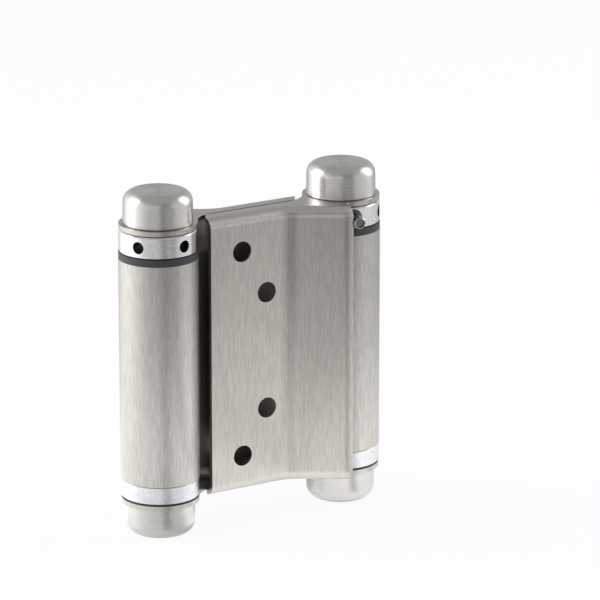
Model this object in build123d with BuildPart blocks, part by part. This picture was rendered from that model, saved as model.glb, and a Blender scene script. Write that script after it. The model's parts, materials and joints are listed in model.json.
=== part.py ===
from build123d import *
import math
import os

# Double action spring hinge for a swing door, in millimetres.
# Two rolled barrels stand side by side, joined by a centre web. Each carries
# a pressed leaf, a torsion spring and an adjusting collar. The origin is on
# the ground midway between the barrels, Z runs up along them, -Y is the front.
# Every piece but the web is modelled on the right-hand barrel. The left-hand
# one is the same piece half a turn round Z.

# Whole hinge
leaf_height = 75.0
barrel_spacing = 55.3
sheet = 1.2
running_clearance = 0.05
axial_play = 0.05
edge_chamfer = 0.3

# Barrels and centre web
tube_radius = 10.35
tube_wall = 1.2
web_bend_radius = 1.6
seam_width = 0.3

# Leaf in plan. Its face stands off the plane through both barrels, and its
# ends are placed from the tubes that they clear.
face_offset = 5.9
edge_clearance = 1.95
leaf_gap = 0.5
flange_setback = 1.75
bend_radius = 2.9
crease_past_tube = 9.1
crease_radius = 9.0
slope_angle = 31.5
lip_clearance = 2.35
lip_length = 1.65
lip_radius = 4.5
lip_corner_radius = 1.0
eye_inset = 0.15
neck_radius = 8.0

# Screw holes in each leaf, countersunk on its inner face
screw_hole_radius = 2.75
countersink_radius = 3.5
outer_screw_from_edge = 9.3
outer_screw_spacing = 55.5
inner_screw_from_edge = 16.7
inner_screw_spacing = 31.5

# Spindle, the nuts on its ends and the caps over them
spindle_radius = 4.0
spindle_chamfer = 0.6
spindle_past_nut = 0.6
nut_across_flats = 13.0
nut_height = 5.0
cap_wall = 1.6
cap_air = 1.6
cap_roof = 1.4
cap_taper = 0.2
cap_edge_radius = 3.0
thrust_washer = 0.3
thrust_washer_inset = 0.35

# Adjusting collar, with the holes for the tension pin and a tommy bar
collar_inset = 0.15
collar_height = 5.8
hub_past_bearing = 3.0
tommy_hole_radius = 1.6
tommy_hole_depth = 3.6
tommy_hole_count = 4
tommy_hole_pitch = 72.0
first_tommy_from_pin = 60.5
counterbore_radius = 2.5
counterbore_depth = 0.8

# Tension pin
pin_length = 8.4
pin_end_gap = 0.3
pin_end_chamfer = 0.25
pin_recess_wall = 0.45
pin_recess_depth = 0.4
pin_rest_gap = 0.05

# Bearings at the two ends of each tube
nylon_inset = 0.05
nylon_flange = 1.9
nylon_spigot = 3.6
bush_inset = 0.1
bush_ring = 4.85
bush_spigot = 4.0

# Torsion spring of square wire, with a tail at each end
spring_wire = 2.2
spring_turns = 16
spring_gap = 0.3
tail_clearance = 0.75
wire_clearance = 0.25

# Heights of the stack, from the ground up
cap_height = nut_height + spindle_past_nut + cap_air + cap_roof
leaf_bottom = cap_height
leaf_top = leaf_bottom + leaf_height
bush_bottom = leaf_bottom + sheet + thrust_washer + axial_play
tube_bottom = bush_bottom + bush_ring
collar_top = leaf_top - sheet - thrust_washer - axial_play
collar_bottom = collar_top - collar_height
nylon_top = collar_bottom - axial_play
tube_top = nylon_top - nylon_flange
bush_spigot_top = tube_bottom + bush_spigot
bush_hub_top = bush_spigot_top + hub_past_bearing
nylon_spigot_bottom = tube_top - nylon_spigot
collar_hub_bottom = nylon_spigot_bottom - hub_past_bearing
mid_height = leaf_bottom + leaf_height / 2
collar_hole_height = collar_bottom + collar_height / 2

# Radii that follow from the tube's and the spindle's
barrel_x = barrel_spacing / 2
bore_radius = spindle_radius + running_clearance
tube_inner_radius = tube_radius - tube_wall
spigot_radius = tube_inner_radius - running_clearance
eye_radius = tube_radius - eye_inset
collar_radius = tube_radius - collar_inset
nylon_radius = tube_radius - nylon_inset
bush_radius = tube_radius - bush_inset
cap_inner_radius = nut_across_flats / math.sqrt(3) + running_clearance
cap_radius = cap_inner_radius + cap_wall
pin_radius = tommy_hole_radius - running_clearance
coil_radius = tube_inner_radius - spring_gap - spring_wire / 2
hub_radius = coil_radius - spring_wire / 2 - wire_clearance
nylon_bore_radius = hub_radius + running_clearance
tail_end_radius = bore_radius + tail_clearance
coil_bottom = bush_spigot_top + spring_gap + spring_wire / 2
coil_top = nylon_spigot_bottom - spring_gap - spring_wire / 2

# The leaf's ends and screw holes, measured from its barrel's axis
crease_from_axis = tube_radius + crease_past_tube
lip_offset = tube_radius + lip_clearance + sheet
slope_reach = (lip_offset - face_offset) / math.tan(math.radians(slope_angle))
lip_edge_from_axis = crease_from_axis - slope_reach - lip_length
free_edge_reach = barrel_spacing - tube_radius - edge_clearance
outer_screw_from_axis = free_edge_reach - outer_screw_from_edge
inner_screw_from_axis = free_edge_reach - inner_screw_from_edge

# The tension pin rests against the outer corner of the leaf's lip.
lip_reach = math.hypot(lip_edge_from_axis, lip_offset)
lip_angle = math.degrees(math.atan2(lip_edge_from_axis, lip_offset))
pin_turn = math.degrees(math.asin((pin_radius + pin_rest_gap) / lip_reach))
pin_angle = pin_turn - lip_angle

# Planes and axis of the right-hand barrel
barrel = Plane((barrel_x, 0, 0))
profile = Plane((barrel_x, 0, 0), x_dir=(1, 0, 0), z_dir=(0, -1, 0))
barrel_axis = Axis((barrel_x, 0, 0), (0, 0, 1))


def write_pair(builder, label):
    """Write the right-hand piece and its half-turn copy on the left."""
    for side, turn in (("right", 0), ("left", 180)):
        with BuildPart() as piece:
            add(builder.part, rotation=(0, 0, turn))
        piece.part.label = f"{label}_{side}"
        export_step(piece.part, f"parts/{label}_{side}.step")


def corner(sketch, x, y):
    """The sketch's corner nearest to a point."""
    return sketch.vertices().sort_by_distance((x, y))[0]


def radial_plane(angle, reach):
    """A plane facing out of the collar, its angle counted from the front."""
    turn = math.radians(angle)
    outward = Vector(math.sin(turn), -math.cos(turn), 0)
    foot = Vector(barrel_x, 0, collar_hole_height)
    return Plane(foot + outward * reach, z_dir=outward)


def wall_path(inset, start_x, end_x):
    """The front wall's line in plan, moved in from its outer face."""
    slope = math.radians(slope_angle)
    face_y = -face_offset + inset
    lip_y = -lip_offset + inset
    crease_x = -crease_from_axis + inset * math.tan(slope / 2)
    lip_x = crease_x + (face_y - lip_y) / math.tan(slope)
    return FilletPolyline(
        (start_x, face_y),
        (crease_x, face_y),
        (lip_x, lip_y),
        (end_x, lip_y),
        radius=[crease_radius + inset, lip_radius - inset],
    )


def wall_bends(part, inset, end_x):
    """The part's top and bottom edges that follow the front wall."""
    ends = part.faces().filter_by(Axis.Z).sort_by(Axis.Z)
    front_y = -face_offset + inset + running_clearance
    return ShapeList(
        edge
        for edge in ends[0].edges() + ends[-1].edges()
        if (edge @ 0.5).Y < front_y
        and (edge @ 0.5).X < barrel_x + end_x
        and abs((edge % 0.5).X) > abs((edge % 0.5).Y)
    )


def make_centre_web():
    """One sheet: a web with a tube rolled at each end of it."""
    with BuildPart() as centre_web:
        with BuildSketch(Plane.XY.offset(tube_bottom)) as section:
            barrels = Locations((barrel_x, 0), (-barrel_x, 0))
            with barrels:
                Circle(tube_radius)
            Rectangle(barrel_spacing, sheet)
            meet_x = barrel_x - math.sqrt(tube_radius**2 - (sheet / 2) ** 2)
            fillet(
                [corner(section, meet_x, -sheet / 2), corner(section, -meet_x, sheet / 2)],
                web_bend_radius,
            )
            with barrels:
                Circle(tube_inner_radius, mode=Mode.SUBTRACT)
            # The rolled edge stops short of the web and leaves a seam.
            seam_x = barrel_x - (tube_radius + tube_inner_radius) / 2
            seam_y = (sheet + seam_width) / 2
            with Locations((seam_x, seam_y), (-seam_x, -seam_y)):
                Rectangle(2 * tube_wall, seam_width, mode=Mode.SUBTRACT)
        extrude(amount=tube_top - tube_bottom)
    centre_web.part.label = "centre_web"
    export_step(centre_web.part, "parts/centre_web.step")


def make_leaf():
    """Pressed leaf: a front wall, two bent flanges and an eye on each."""
    beyond = tube_radius + sheet

    # The space behind the wall and between the flanges
    with BuildPart() as channel:
        with BuildSketch(barrel.offset(leaf_bottom + sheet)):
            with BuildLine():
                wall = wall_path(sheet, -free_edge_reach - sheet, beyond)
                Polyline(
                    wall @ 1,
                    (beyond, beyond),
                    (-free_edge_reach - sheet, beyond),
                    wall @ 0,
                )
            make_face()
        extrude(amount=leaf_height - 2 * sheet)
        fillet(wall_bends(channel, sheet, beyond), bend_radius - sheet)

    flange_y = -leaf_gap / 2
    eye_side_y = -math.sqrt(eye_radius**2 - lip_edge_from_axis**2)
    with BuildPart() as leaf:
        with BuildSketch(barrel.offset(leaf_bottom)) as outline:
            with BuildLine():
                wall = wall_path(0, -free_edge_reach, -lip_edge_from_axis)
                Polyline(
                    wall @ 1,
                    (-lip_edge_from_axis, flange_y),
                    (-free_edge_reach + flange_setback, flange_y),
                    (-free_edge_reach, -face_offset + bend_radius + running_clearance),
                    wall @ 0,
                )
            make_face()
            Circle(eye_radius)
            fillet(corner(outline, -lip_edge_from_axis, eye_side_y), lip_corner_radius)
            fillet(corner(outline, -eye_radius, flange_y), neck_radius)
            Circle(bore_radius, mode=Mode.SUBTRACT)
        extrude(amount=leaf_height)
        fillet(wall_bends(leaf, 0, -lip_edge_from_axis), bend_radius)
        add(channel.part, mode=Mode.SUBTRACT)
        inner_face = Plane(
            (barrel_x, -face_offset + sheet, mid_height), x_dir=(1, 0, 0), z_dir=(0, 1, 0)
        )
        with Locations(inner_face):
            for reach, spacing in (
                (outer_screw_from_axis, outer_screw_spacing),
                (inner_screw_from_axis, inner_screw_spacing),
            ):
                with Locations((-reach, spacing / 2), (-reach, -spacing / 2)):
                    CounterSinkHole(screw_hole_radius, countersink_radius, 2 * sheet, 90)
    write_pair(leaf, "leaf")


def make_spindle():
    """The rod through the whole barrel, clamped to both eyes by its nuts."""
    past_leaf = nut_height + spindle_past_nut
    with BuildPart() as spindle:
        with BuildSketch(barrel.offset(leaf_bottom - past_leaf)):
            Circle(spindle_radius)
        extrude(amount=leaf_height + 2 * past_leaf)
        chamfer(spindle.edges().filter_by(GeomType.CIRCLE), spindle_chamfer)
    write_pair(spindle, "spindle")


def make_nut(label, bottom):
    with BuildPart() as nut:
        with BuildSketch(barrel.offset(bottom)):
            RegularPolygon(nut_across_flats / 2, 6, major_radius=False)
            Circle(bore_radius, mode=Mode.SUBTRACT)
        extrude(amount=nut_height)
    write_pair(nut, label)


def make_cap(label, rim, upward):
    """A turned cap pressed over a nut, its rim on the eye."""
    roof = rim + upward * cap_height
    roof_radius = cap_radius - cap_taper
    ceiling = roof - upward * cap_roof
    with BuildPart() as cap:
        with BuildSketch(profile) as section:
            with BuildLine():
                Polyline(
                    (cap_inner_radius, rim),
                    (cap_radius, rim),
                    (roof_radius, roof),
                    (0, roof),
                    (0, ceiling),
                    (cap_inner_radius, ceiling),
                    close=True,
                )
            make_face()
            fillet(corner(section, roof_radius, roof), cap_edge_radius)
            chamfer(corner(section, cap_radius, rim), edge_chamfer)
        revolve(axis=barrel_axis)
    write_pair(cap, label)


def make_thrust_washer(label, bottom):
    with BuildPart() as washer:
        with BuildSketch(barrel.offset(bottom)):
            Circle(eye_radius - thrust_washer_inset)
            Circle(bore_radius, mode=Mode.SUBTRACT)
        extrude(amount=thrust_washer)
    write_pair(washer, label)


def tail_slot(height, tail_y):
    """Outline of the slot across one side of a hub, for the spring's tail."""
    with BuildSketch(barrel.offset(height)) as outline:
        with Locations((hub_radius / 2 + tube_wall, tail_y)):
            Rectangle(hub_radius + 2 * tube_wall, spring_wire + 2 * wire_clearance)
    return outline.sketch


def make_collar():
    """Ring with its radial holes, and a hub that holds the spring's top tail."""
    with BuildPart() as collar:
        with BuildSketch(profile) as section:
            with BuildLine():
                Polyline(
                    (bore_radius, collar_top),
                    (collar_radius, collar_top),
                    (collar_radius, collar_bottom),
                    (hub_radius, collar_bottom),
                    (hub_radius, collar_hub_bottom),
                    (bore_radius, collar_hub_bottom),
                    close=True,
                )
            make_face()
            rim = [corner(section, collar_radius, z) for z in (collar_top, collar_bottom)]
            chamfer(rim, edge_chamfer)
        revolve(axis=barrel_axis)
        slot_depth = coil_top + spring_wire / 2 + wire_clearance - collar_hub_bottom
        extrude(tail_slot(collar_hub_bottom, spring_wire / 2), amount=slot_depth, mode=Mode.SUBTRACT)
        for index in range(tommy_hole_count):
            angle = pin_angle + first_tommy_from_pin + index * tommy_hole_pitch
            with Locations(radial_plane(angle, collar_radius)):
                Hole(tommy_hole_radius, tommy_hole_depth)
        with Locations(radial_plane(pin_angle, collar_radius)):
            CounterBoreHole(
                tommy_hole_radius, counterbore_radius, counterbore_depth, tommy_hole_depth
            )
    write_pair(collar, "adjusting_collar")


def make_tension_pin():
    """The pin in the collar that carries the spring's load to the leaf's lip."""
    inner_end = collar_radius - tommy_hole_depth + pin_end_gap
    with BuildPart() as pin:
        with BuildSketch(radial_plane(pin_angle, inner_end)):
            Circle(pin_radius)
        extrude(amount=pin_length)
        chamfer(pin.edges().filter_by(GeomType.CIRCLE), pin_end_chamfer)
        with Locations(radial_plane(pin_angle, inner_end + pin_length)):
            Hole(pin_radius - pin_recess_wall, pin_recess_depth)
    write_pair(pin, "tension_pin")


def make_nylon_bearing():
    """Flanged bearing between the tube's top end and the collar's hub."""
    with BuildPart() as bearing:
        with BuildSketch(profile):
            with BuildLine():
                Polyline(
                    (nylon_bore_radius, nylon_top),
                    (nylon_radius, nylon_top),
                    (nylon_radius, tube_top),
                    (spigot_radius, tube_top),
                    (spigot_radius, nylon_spigot_bottom),
                    (nylon_bore_radius, nylon_spigot_bottom),
                    close=True,
                )
            make_face()
        revolve(axis=barrel_axis)
    write_pair(bearing, "nylon_bearing")


def make_anchor_bush():
    """Ring and bearing at the tube's foot, with a hub for the lower tail."""
    with BuildPart() as bush:
        with BuildSketch(profile) as section:
            with BuildLine():
                Polyline(
                    (bore_radius, bush_bottom),
                    (bush_radius, bush_bottom),
                    (bush_radius, tube_bottom),
                    (spigot_radius, tube_bottom),
                    (spigot_radius, bush_spigot_top),
                    (hub_radius, bush_spigot_top),
                    (hub_radius, bush_hub_top),
                    (bore_radius, bush_hub_top),
                    close=True,
                )
            make_face()
            rim = [corner(section, bush_radius, z) for z in (bush_bottom, tube_bottom)]
            chamfer(rim, edge_chamfer)
        revolve(axis=barrel_axis)
        slot_depth = bush_hub_top - coil_bottom + spring_wire / 2 + wire_clearance
        extrude(tail_slot(bush_hub_top, -spring_wire / 2), amount=-slot_depth, mode=Mode.SUBTRACT)
    write_pair(bush, "anchor_bush")


def make_torsion_spring():
    """Coil in the tube, with a tail at each end bent in to a hub's slot."""
    coil_height = coil_top - coil_bottom
    tail_reach = coil_radius + spring_wire / 2 - tail_end_radius
    with BuildPart() as spring:
        with BuildLine(barrel.offset(coil_bottom)) as coil:
            Helix(coil_height / spring_turns, coil_height, coil_radius)
        with BuildSketch(Plane((barrel_x + coil_radius, 0, coil_bottom), z_dir=(0, -1, 0))):
            Rectangle(spring_wire, spring_wire)
        sweep(path=coil.line, is_frenet=True)
        tail_x = tail_end_radius + tail_reach / 2
        for height, tail_y in ((coil_bottom, -spring_wire / 2), (coil_top, spring_wire / 2)):
            with BuildSketch(barrel.offset(height - spring_wire / 2)):
                with Locations((tail_x, tail_y)):
                    Rectangle(tail_reach, spring_wire)
            extrude(amount=spring_wire)
    write_pair(spring, "torsion_spring")


os.makedirs("parts", exist_ok=True)
make_centre_web()
make_leaf()
make_spindle()
make_nut("top_nut", leaf_top)
make_nut("bottom_nut", leaf_bottom - nut_height)
make_cap("top_cap", leaf_top, 1)
make_cap("bottom_cap", leaf_bottom, -1)
make_thrust_washer("top_thrust_washer", leaf_top - sheet - thrust_washer)
make_thrust_washer("bottom_thrust_washer", leaf_bottom + sheet)
make_collar()
make_tension_pin()
make_nylon_bearing()
make_anchor_bush()
make_torsion_spring()
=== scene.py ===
import json
import math

import bmesh
import bpy
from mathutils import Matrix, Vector


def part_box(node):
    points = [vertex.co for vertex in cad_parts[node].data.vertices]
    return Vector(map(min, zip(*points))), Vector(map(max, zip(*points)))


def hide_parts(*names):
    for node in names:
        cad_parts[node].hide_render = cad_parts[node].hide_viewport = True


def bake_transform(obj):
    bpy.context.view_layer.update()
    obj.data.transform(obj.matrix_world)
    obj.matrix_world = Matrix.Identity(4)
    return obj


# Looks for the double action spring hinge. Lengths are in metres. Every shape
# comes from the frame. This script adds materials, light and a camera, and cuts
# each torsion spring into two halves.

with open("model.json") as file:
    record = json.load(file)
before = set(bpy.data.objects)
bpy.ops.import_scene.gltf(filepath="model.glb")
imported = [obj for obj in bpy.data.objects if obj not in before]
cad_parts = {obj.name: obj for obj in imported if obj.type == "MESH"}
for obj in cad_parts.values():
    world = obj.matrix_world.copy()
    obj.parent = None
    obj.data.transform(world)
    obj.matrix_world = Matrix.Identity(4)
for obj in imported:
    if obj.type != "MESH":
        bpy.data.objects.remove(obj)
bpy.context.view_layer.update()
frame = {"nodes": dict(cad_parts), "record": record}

# Camera: azimuth and elevation in degrees, the rest in metres
image_size = 600
view_azimuth = -31.5
view_elevation = 16.5
view_distance = 1.2
view_target = Vector((0.0151, 0.0, 0.0561))
focal_pixels = 4563.0
sensor_width = 36.0

# The barrels' axes and the bright rings' radius, read from the frame
ring_low, ring_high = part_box("adjusting_collar_right")
barrel_x = (ring_low.x + ring_high.x) / 2
ring_radius = (ring_high.x - ring_low.x) / 2

# Where every noise starts, far enough away that its octaves don't line up
noise_origin = (337.3, 451.9, 213.1)

# Almost straight up, so that its cross product with any face is never zero
nearly_up = (0.03, 0.01, 1.0)

# How far in from each end of a spring its foot and head points sit,
# and how close two points of its mesh are when they are one
spring_end = 0.006
weld_distance = 1e-7

# Gaps and holes, with painted shade: how far a face looks round for open sky, the shares of open sky
# that count as shut in and as open, and how dark the painted shade makes the steel where it is shut
# in
gap_reach = 0.012
gap_shut = 0.05
gap_open = 0.45
gap_shade_tone = 0.6

# The same for painted shade on the dark pieces, where something touches them
touch_shade_reach = 0.001
touch_shade_shut = 0.3
touch_shade_open = 0.75
touch_shade_tone = 0.4

# Plating is bright on a ring's outside, with painted shade inside its holes from one depth
# below the outside to another. The rings at the foot are darker and rougher.
hole_start = 0.0003
hole_depth = 0.0007
hole_shade_tone = 0.2
foot_tone = 0.88
foot_roughness = 0.1

# The sideways part of a normal, from the front wall's 0 to the sloping wall's 0.52:
# the painted shade of a crease starts, is deepest between the two middle values, and ends
crease_sides = (0.14, 0.28, 0.36, 0.48)

# The upward part of a normal: an upright face stays below the first, and the second is past it
upright_limits = (0.05, 0.2)

# Studio, with angles counted round the hinge from its front
floor_size = 8.0
floor_white = (0.86, 0.86, 0.86, 1.0)
background_share = 0.92
reflected_share = 0.62
pool_inner_radius = 0.06
pool_outer_radius = 0.26
pool_centre_level = 1.6
pool_edge_level = 0.44
card_inner_radius = 0.012
card_outer_radius = 1.0
card_height = 1.0
card_steps = 12
card_gap = 0.0004

# How bright the world is as a light, and overhead in the metal, where it dims
# between two heights on a sphere of radius 1
world_light = 0.55
overhead_level = 0.5
dimming_start = 0.05
dimming_end = 0.6

# The painted shadow on the floor in the metal right beside a barrel: its level, and how far that
# reaches
contact_shadow_level = 0.42
contact_shadow_reach = 0.085


def around(angle, distance, height):
    """A point at an angle round the hinge, at a distance and a height."""
    turn = math.radians(angle)
    return Vector((distance * math.sin(turn), -distance * math.cos(turn), height))


class Nodes:
    """Short calls that add nodes to one material or world and link them."""

    def __init__(self, owner):
        owner.use_nodes = True
        self.tree = owner.node_tree
        self.tree.nodes.clear()

    def add(self, kind, settings=None, **inputs):
        node = self.tree.nodes.new(kind)
        for name, value in (settings or {}).items():
            setattr(node, name, value)
        for name, value in inputs.items():
            self.set(node.inputs[name.replace("_", " ")], value)
        return node

    def set(self, socket, value):
        if isinstance(value, bpy.types.NodeSocket):
            self.tree.links.new(value, socket)
        else:
            socket.default_value = value

    def math(self, operation, first, second=0.0):
        node = self.tree.nodes.new("ShaderNodeMath")
        node.operation = operation
        self.set(node.inputs[0], first)
        self.set(node.inputs[1], second)
        return node.outputs[0]

    def stretched_noise(self, coordinates, scale, detail=3.0):
        """Noise with its own scale, per metre, along each axis."""
        mapping = self.add(
            "ShaderNodeMapping", Vector=coordinates, Scale=scale, Location=noise_origin
        )
        noise = self.add("ShaderNodeTexNoise", Vector=mapping.outputs[0], Scale=1.0, Detail=detail)
        return noise.outputs["Fac"]

    def spread(self, value, low, high):
        """Maps the middle of a noise to the range from low to high."""
        node = self.add("ShaderNodeMapRange", Value=value)
        limits = (("From Min", 0.3), ("From Max", 0.7), ("To Min", low), ("To Max", high))
        for name, number in limits:
            node.inputs[name].default_value = number
        return node.outputs[0]

    def tint(self, colour, value):
        """A colour made darker or lighter by a value near 1."""
        node = self.add("ShaderNodeVectorMath", {"operation": "SCALE"}, Scale=value)
        node.inputs[0].default_value = colour
        return node.outputs[0]

    def ramp(self, value, start, end, first, last):
        """A smooth change from one number to another between two values."""
        node = self.add("ShaderNodeMapRange", {"interpolation_type": "SMOOTHSTEP"}, Value=value)
        limits = (("From Min", start), ("From Max", end), ("To Min", first), ("To Max", last))
        for name, number in limits:
            node.inputs[name].default_value = number
        return node.outputs[0]

    def blend(self, share, first, second):
        """One number turning into another as share goes from 0 to 1."""
        node = self.add("ShaderNodeMix")
        sockets = (node.inputs[0], node.inputs[2], node.inputs[3])
        for socket, value in zip(sockets, (share, first, second)):
            self.set(socket, value)
        return node.outputs[0]

    def mix(self, share, first, second):
        """One shader laid over another by a share."""
        node = self.add("ShaderNodeMixShader")
        for socket, value in zip(node.inputs, (share, first.outputs[0], second.outputs[0])):
            self.set(socket, value)
        return node

    def level_tangent(self):
        """The level direction along a surface, across vertical brushing."""
        normal = self.add("ShaderNodeNewGeometry").outputs["Normal"]
        node = self.add("ShaderNodeVectorMath", {"operation": "CROSS_PRODUCT"})
        node.inputs[0].default_value = nearly_up
        self.set(node.inputs[1], normal)
        return node.outputs[0]

    def recess(self, reach, shut, open_sky):
        """0 deep in a hole or a gap, and 1 on faces that see enough open sky."""
        shade = self.add("ShaderNodeAmbientOcclusion", {"samples": 8}, Distance=reach)
        return self.ramp(shade.outputs["AO"], shut, open_sky, 0.0, 1.0)

    def crease(self):
        """1 in the middle of an upright bend beside the sloping wall, and 0 on flat walls."""
        start, deep, shallow, end = crease_sides
        normal = self.add("ShaderNodeTexCoord").outputs["Normal"]
        parts = self.add("ShaderNodeSeparateXYZ", Vector=normal)
        sideways = self.math("ABSOLUTE", parts.outputs["X"])
        into = self.ramp(sideways, start, deep, 0.0, 1.0)
        out_of = self.ramp(sideways, shallow, end, 1.0, 0.0)
        upward = self.math("ABSOLUTE", parts.outputs["Z"])
        upright = self.ramp(upward, *upright_limits, 1.0, 0.0)
        return self.math("MULTIPLY", self.math("MULTIPLY", into, out_of), upright)

    def barrel_radius(self, place):
        """How far a point is from the axis of its own barrel."""
        parts = self.add("ShaderNodeSeparateXYZ", Vector=place)
        across = self.math("SUBTRACT", self.math("ABSOLUTE", parts.outputs["X"]), barrel_x)
        flat = self.add("ShaderNodeCombineXYZ", X=across, Y=parts.outputs["Y"])
        return self.add(
            "ShaderNodeVectorMath", {"operation": "LENGTH"}, Vector=flat.outputs[0]
        ).outputs["Value"]

    def bump(self, height, strength, distance):
        return self.add(
            "ShaderNodeBump", Height=height, Strength=strength, Distance=distance
        ).outputs[0]

    def surface(self, shader):
        self.add("ShaderNodeOutputMaterial", Surface=shader.outputs[0])


def satin_steel(name, colour, grain_scale, cloud_scale, crease_shade_tone):
    """Stainless steel brushed along the height, with faint clouding and painted shade in its gaps,
    holes and creases.
    """
    material = bpy.data.materials.new(name)
    nodes = Nodes(material)
    place = nodes.add("ShaderNodeTexCoord").outputs["Object"]
    grain = nodes.stretched_noise(place, (grain_scale, grain_scale, 8.0), 4.0)
    hairs = nodes.stretched_noise(place, (5 * grain_scale, 5 * grain_scale, 250.0), 2.0)
    clouds = nodes.stretched_noise(place, (cloud_scale, cloud_scale, cloud_scale / 3), 2.0)
    # Painted shade in gaps and holes, darker where a face sees little open sky
    gap_shade = nodes.blend(nodes.recess(gap_reach, gap_shut, gap_open), gap_shade_tone, 1.0)
    tone = nodes.math(
        "MULTIPLY",
        nodes.math("MULTIPLY", nodes.spread(grain, 0.985, 1.015), nodes.spread(hairs, 0.86, 1.14)),
        nodes.math("MULTIPLY", nodes.spread(clouds, 0.975, 1.025), gap_shade),
    )
    # Painted shade down the upright creases beside the sloping wall
    tone = nodes.math("MULTIPLY", tone, nodes.blend(nodes.crease(), 1.0, crease_shade_tone))
    polish = nodes.spread(clouds, -0.012, 0.012)
    roughness = nodes.math("ADD", nodes.spread(grain, 0.3, 0.32), polish)
    shader = nodes.add(
        "ShaderNodeBsdfPrincipled",
        Base_Color=nodes.tint(colour, tone),
        Metallic=1.0,
        Roughness=roughness,
        Anisotropic=0.55,
        Tangent=nodes.level_tangent(),
        Normal=nodes.bump(hairs, 0.08, 0.00002),
    )
    nodes.surface(shader)
    return material


def turned_steel(name, colour):
    """Stainless steel turned on a lathe, its fine rings round the cap's axis."""
    material = bpy.data.materials.new(name)
    nodes = Nodes(material)
    coordinates = nodes.add("ShaderNodeTexCoord")
    centred = nodes.add(
        "ShaderNodeMapping", Vector=coordinates.outputs["Generated"], Location=(-0.5, -0.5, 0.0)
    ).outputs[0]
    parts = nodes.add("ShaderNodeSeparateXYZ", Vector=centred)
    flat = nodes.add("ShaderNodeCombineXYZ", X=parts.outputs[0], Y=parts.outputs[1])
    radius = nodes.add(
        "ShaderNodeVectorMath", {"operation": "LENGTH"}, Vector=flat.outputs[0]
    ).outputs["Value"]
    rings = nodes.add("ShaderNodeCombineXYZ", X=radius, Z=parts.outputs[2]).outputs[0]
    lathe = nodes.stretched_noise(rings, (90.0, 1.0, 60.0), 3.0)
    clouds = nodes.stretched_noise(coordinates.outputs["Object"], (160.0, 160.0, 160.0), 2.0)
    dust = nodes.stretched_noise(coordinates.outputs["Object"], (2600.0, 2600.0, 3400.0), 2.0)
    tone = nodes.math(
        "MULTIPLY",
        nodes.math("MULTIPLY", nodes.spread(lathe, 0.95, 1.05), nodes.spread(clouds, 0.97, 1.03)),
        nodes.spread(dust, 0.93, 1.07),
    )
    tangent = nodes.add("ShaderNodeTangent", {"direction_type": "RADIAL", "axis": "Z"})
    shader = nodes.add(
        "ShaderNodeBsdfPrincipled",
        Base_Color=nodes.tint(colour, tone),
        Metallic=1.0,
        Roughness=nodes.spread(lathe, 0.25, 0.32),
        Anisotropic=0.7,
        Anisotropic_Rotation=0.25,
        Tangent=tangent.outputs[0],
        Normal=nodes.bump(lathe, 0.08, 0.00002),
    )
    nodes.surface(shader)
    return material


def bright_plate(name, colour):
    """Bright plating with faint mottling, small darker specks and painted shade in its holes, darker
    and rougher low down.
    """
    material = bpy.data.materials.new(name)
    nodes = Nodes(material)
    place = nodes.add("ShaderNodeTexCoord").outputs["Object"]
    mottle = nodes.stretched_noise(place, (900.0, 900.0, 900.0), 4.0)
    specks = nodes.stretched_noise(place, (2600.0, 2600.0, 2600.0), 2.0)
    tone = nodes.math("MULTIPLY", nodes.spread(mottle, 0.9, 1.05), nodes.spread(specks, 0.87, 1.05))
    # Painted shade inside the ring's holes, below the plating's outside
    depth = nodes.math("SUBTRACT", ring_radius, nodes.barrel_radius(place))
    hole_shade = nodes.ramp(depth, hole_start, hole_depth, 1.0, hole_shade_tone)
    # Darker and rougher at the foot, below the bright ring
    height = nodes.add("ShaderNodeSeparateXYZ", Vector=place).outputs["Z"]
    polish = nodes.ramp(height, 0.0, ring_low.z, 0.0, 1.0)
    tone = nodes.math("MULTIPLY", tone, hole_shade)
    tone = nodes.math("MULTIPLY", tone, nodes.blend(polish, foot_tone, 1.0))
    dulled = nodes.blend(polish, foot_roughness, 0.0)
    roughness = nodes.math("ADD", nodes.spread(specks, 0.14, 0.26), dulled)
    shader = nodes.add(
        "ShaderNodeBsdfPrincipled",
        Base_Color=nodes.tint(colour, tone),
        Metallic=1.0,
        Roughness=roughness,
        Normal=nodes.bump(mottle, 0.25, 0.00003),
    )
    nodes.surface(shader)
    return material


def plain_steel(name, colour, roughness):
    """Dark machined steel with fine scratches and painted shade where other pieces touch it."""
    material = bpy.data.materials.new(name)
    nodes = Nodes(material)
    place = nodes.add("ShaderNodeTexCoord").outputs["Object"]
    scratches = nodes.stretched_noise(place, (1500.0, 1500.0, 400.0), 3.0)
    # Painted shade: darker where another piece is within touching distance
    touch_shade = nodes.blend(nodes.recess(touch_shade_reach, touch_shade_shut, touch_shade_open), touch_shade_tone, 1.0)
    tone = nodes.math("MULTIPLY", nodes.spread(scratches, 0.85, 1.15), touch_shade)
    shader = nodes.add(
        "ShaderNodeBsdfPrincipled",
        Base_Color=nodes.tint(colour, tone),
        Metallic=1.0,
        Roughness=nodes.spread(scratches, roughness - 0.06, roughness + 0.06),
        Normal=nodes.bump(scratches, 0.15, 0.00003),
    )
    nodes.surface(shader)
    return material


def moulded_nylon(name, colour):
    """Black moulded nylon with a fine matt grain."""
    material = bpy.data.materials.new(name)
    nodes = Nodes(material)
    place = nodes.add("ShaderNodeTexCoord").outputs["Object"]
    grain = nodes.stretched_noise(place, (1800.0, 1800.0, 1800.0), 3.0)
    shader = nodes.add(
        "ShaderNodeBsdfPrincipled",
        Base_Color=nodes.tint(colour, nodes.spread(grain, 0.85, 1.15)),
        Roughness=nodes.spread(grain, 0.42, 0.55),
        Normal=nodes.bump(grain, 0.2, 0.00003),
    )
    nodes.surface(shader)
    return material


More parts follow.
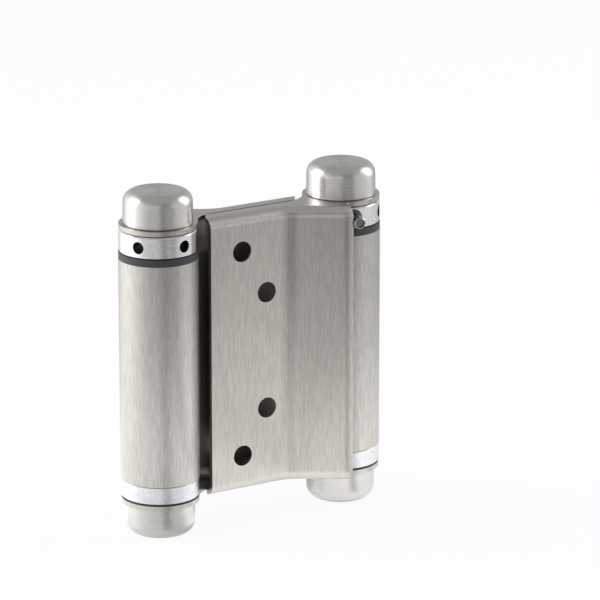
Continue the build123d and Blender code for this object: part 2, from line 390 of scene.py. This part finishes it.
def dress_nodes():
    """Gives each CAD node the material that its slot in the record names."""
    looks = {
        "leaf_steel": satin_steel(
            "leaf_steel", (0.52, 0.499, 0.465), grain_scale=900.0, cloud_scale=60.0, crease_shade_tone=0.82
        ),
        "tube_steel": satin_steel(
            "tube_steel", (0.51, 0.493, 0.466), grain_scale=700.0, cloud_scale=80.0, crease_shade_tone=1.0
        ),
        "cap_steel": turned_steel("cap_steel", (0.57, 0.558, 0.538)),
        "bright_plate": bright_plate("bright_plate", (0.8, 0.804, 0.818)),
        "dark_steel": plain_steel("dark_steel", (0.3, 0.288, 0.272), roughness=0.26),
        "spring_steel": plain_steel("spring_steel", (0.22, 0.215, 0.21), roughness=0.42),
        "black_nylon": moulded_nylon("black_nylon", (0.028, 0.028, 0.03)),
    }
    for part in frame["record"]["subparts"]:
        for slot in frame["nodes"][part["node"]].material_slots:
            slot.material = looks[part["material_slot"]]
    return looks


def half_spring(side, name, keeps_top, material):
    """One half of a torsion spring, cut at the middle of its height."""
    node = "torsion_spring_" + side
    low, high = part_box(node)
    foot = Vector(((low.x + high.x) / 2, 0.0, low.z + spring_end))
    head = Vector((foot.x, 0.0, high.z - spring_end))
    middle = (foot + head) / 2
    coil = bmesh.new()
    coil.from_mesh(frame["nodes"][node].data)
    coil.transform(frame["nodes"][node].matrix_world)
    bmesh.ops.remove_doubles(coil, verts=coil.verts, dist=weld_distance)
    everything = coil.verts[:] + coil.edges[:] + coil.faces[:]
    bmesh.ops.bisect_plane(
        coil,
        geom=everything,
        plane_co=middle,
        plane_no=(0.0, 0.0, 1.0),
        clear_inner=keeps_top,
        clear_outer=not keeps_top,
    )
    bmesh.ops.holes_fill(coil, edges=[edge for edge in coil.edges if edge.is_boundary], sides=0)
    bmesh.ops.triangulate(coil, faces=coil.faces)
    mesh = bpy.data.meshes.new(name)
    coil.to_mesh(mesh)
    coil.free()
    mesh.materials.append(material)
    piece = bpy.data.objects.new(name, mesh)
    bpy.context.scene.collection.objects.link(piece)
    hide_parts(node)
    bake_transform(piece)


def make_springs(material):
    """A spring's foot sits in the web and its head in the collar; each spring is cut into a foot
    half and a head half.
    """
    for side in ("left", "right"):
        half_spring(side, "spring_foot_" + side, False, material)
        half_spring(side, "spring_head_" + side, True, material)


def stage_mesh(name, points, faces, material):
    mesh = bpy.data.meshes.new(name)
    mesh.from_pydata(points, [], faces)
    made = bpy.data.objects.new(name, mesh)
    made.data.materials.append(material)
    bpy.context.scene.collection.objects.link(made)
    return made


def make_floor():
    """A pale floor, white to the eye, in the metal a pool of light that fades and a painted shadow
    beside each barrel.
    """
    material = bpy.data.materials.new("studio_floor")
    nodes = Nodes(material)
    rays = nodes.add("ShaderNodeLightPath")
    place = nodes.add("ShaderNodeNewGeometry").outputs["Position"]
    away = nodes.add("ShaderNodeVectorMath", {"operation": "LENGTH"}, Vector=place)
    pool = nodes.ramp(
        away.outputs["Value"],
        pool_inner_radius,
        pool_outer_radius,
        pool_centre_level,
        pool_edge_level,
    )
    # Painted shadow: the floor's level in the metal drops right beside each barrel
    contact_shadow = nodes.ramp(
        nodes.barrel_radius(place), card_inner_radius, contact_shadow_reach, contact_shadow_level, 1.0
    )
    level = nodes.blend(
        rays.outputs["Is Camera Ray"], nodes.math("MULTIPLY", pool, contact_shadow), 1.0
    )
    reflected = nodes.math(
        "MAXIMUM", rays.outputs["Is Glossy Ray"], rays.outputs["Is Transmission Ray"]
    )
    share = nodes.blend(
        rays.outputs["Is Camera Ray"],
        nodes.math("MULTIPLY", reflected, reflected_share),
        background_share,
    )
    paint = nodes.add("ShaderNodeBsdfDiffuse", Color=floor_white)
    white = nodes.add("ShaderNodeEmission", Color=(1.0, 1.0, 1.0, 1.0), Strength=level)
    nodes.surface(nodes.mix(share, paint, white))
    half = floor_size / 2
    corners = [(-half, -half, 0), (half, -half, 0), (half, half, 0), (-half, half, 0)]
    stage_mesh("studio_floor", corners, [(0, 1, 2, 3)], material)


def make_card(name, number, centre_x, angle, half_width, near_level, far_level, cover):
    """A card on the floor and up behind it that only the metal reflects.

    It has its own levels of light, near the hinge and further off, and fades
    out towards its two long edges. Its number keeps it clear of the others.
    """
    material = bpy.data.materials.new(name)
    nodes = Nodes(material)
    place = nodes.add("ShaderNodeTexCoord").outputs["Object"]
    parts = nodes.add("ShaderNodeSeparateXYZ", Vector=place)
    forward = nodes.math("MULTIPLY", parts.outputs["Y"], -1.0)
    turn = nodes.math("ARCTAN2", parts.outputs["X"], forward)
    fade = nodes.ramp(
        nodes.math("ABSOLUTE", turn), 0.0, math.radians(half_width), cover, 0.0
    )
    away = nodes.add("ShaderNodeVectorMath", {"operation": "LENGTH"}, Vector=place)
    level = nodes.ramp(
        away.outputs["Value"], pool_inner_radius, pool_outer_radius, near_level, far_level
    )
    glow = nodes.add("ShaderNodeEmission", Color=(1.0, 1.0, 1.0, 1.0), Strength=level)
    clear = nodes.add("ShaderNodeBsdfTransparent")
    nodes.surface(nodes.mix(fade, clear, glow))
    gap = card_gap * number
    rows = (
        (card_inner_radius, gap),
        (card_outer_radius - gap, gap),
        (card_outer_radius - gap, card_height),
    )
    turns = [half_width * (2 * step / card_steps - 1) for step in range(card_steps + 1)]
    points = [around(turn, distance, height) for distance, height in rows for turn in turns]
    row = card_steps + 1
    faces = [
        (start + step, start + step + 1, start + step + 1 + row, start + step + row)
        for start in (0, row)
        for step in range(card_steps)
    ]
    card = stage_mesh(name, points, faces, material)
    card.location.x = centre_x
    card.rotation_euler.z = math.radians(angle)
    card.visible_camera = False
    card.visible_diffuse = False
    card.visible_shadow = False


def make_lamp(name, angle, distance, height, width, tall, power, mirrored):
    """A soft box at an angle round the hinge, turned to face it, and mirrored in metal or not."""
    data = bpy.data.lights.new(name, "AREA")
    data.shape = "RECTANGLE"
    data.size = width
    data.size_y = tall
    data.energy = power
    lamp = bpy.data.objects.new(name, data)
    lamp.location = around(angle, distance, height)
    lamp.rotation_euler = (view_target - lamp.location).to_track_quat("-Z", "Y").to_euler()
    lamp.visible_glossy = mirrored
    bpy.context.scene.collection.objects.link(lamp)


def make_world():
    """White to the eye, dimmer overhead in the metal, and a plainer grey as a light."""
    world = bpy.data.worlds.new("studio")
    nodes = Nodes(world)
    rays = nodes.add("ShaderNodeLightPath")
    direction = nodes.add("ShaderNodeTexCoord").outputs["Generated"]
    height = nodes.add("ShaderNodeSeparateXYZ", Vector=direction).outputs["Z"]
    reflected = nodes.math(
        "MAXIMUM", rays.outputs["Is Glossy Ray"], rays.outputs["Is Transmission Ray"]
    )
    mirrored_level = nodes.ramp(height, dimming_start, dimming_end, 1.0, overhead_level)
    level = nodes.blend(reflected, world_light, mirrored_level)
    level = nodes.blend(rays.outputs["Is Camera Ray"], level, 1.0)
    sky = nodes.add("ShaderNodeBackground", Color=(1.0, 1.0, 1.0, 1.0), Strength=level)
    nodes.add("ShaderNodeOutputWorld", Surface=sky.outputs[0])
    bpy.context.scene.world = world


def make_camera():
    data = bpy.data.cameras.new("camera")
    data.sensor_width = sensor_width
    data.lens = focal_pixels / image_size * sensor_width
    data.clip_end = 4 * floor_size
    camera = bpy.data.objects.new("camera", data)
    level = math.radians(view_elevation)
    back = around(view_azimuth, math.cos(level), math.sin(level))
    camera.location = view_target + back * view_distance
    camera.rotation_euler = (-back).to_track_quat("-Z", "Y").to_euler()
    bpy.context.scene.collection.objects.link(camera)
    bpy.context.scene.camera = camera


looks = dress_nodes()
make_springs(looks["spring_steel"])
make_floor()
make_card(
    "left_card", number=1, centre_x=0.0, angle=-130.0, half_width=76.0,
    near_level=1.7, far_level=1.75, cover=0.95,
)
make_card(
    "right_card", number=2, centre_x=-barrel_x, angle=64.0, half_width=52.0,
    near_level=1.6, far_level=0.85, cover=0.85,
)
make_card(
    "back_card", number=3, centre_x=0.0, angle=148.0, half_width=66.0,
    near_level=0.5, far_level=0.5, cover=0.9,
)
make_card(
    "left_dark_card", number=4, centre_x=-barrel_x, angle=-12.0, half_width=21.0,
    near_level=0.35, far_level=0.15, cover=0.7,
)
make_card(
    "right_dark_card", number=5, centre_x=barrel_x, angle=3.0, half_width=19.0,
    near_level=0.4, far_level=0.15, cover=0.6,
)
make_world()
make_lamp(
    "left_softbox", angle=-125.0, distance=0.8, height=0.35,
    width=0.45, tall=0.8, power=4.0, mirrored=True,
)
make_lamp(
    "right_softbox", angle=80.0, distance=0.9, height=0.35,
    width=0.5, tall=0.9, power=4.0, mirrored=True,
)
make_lamp(
    "top_softbox", angle=-60.0, distance=0.5, height=1.1,
    width=0.9, tall=0.9, power=3.0, mirrored=False,
)
make_camera()
bpy.context.scene.view_settings.view_transform = "Standard"
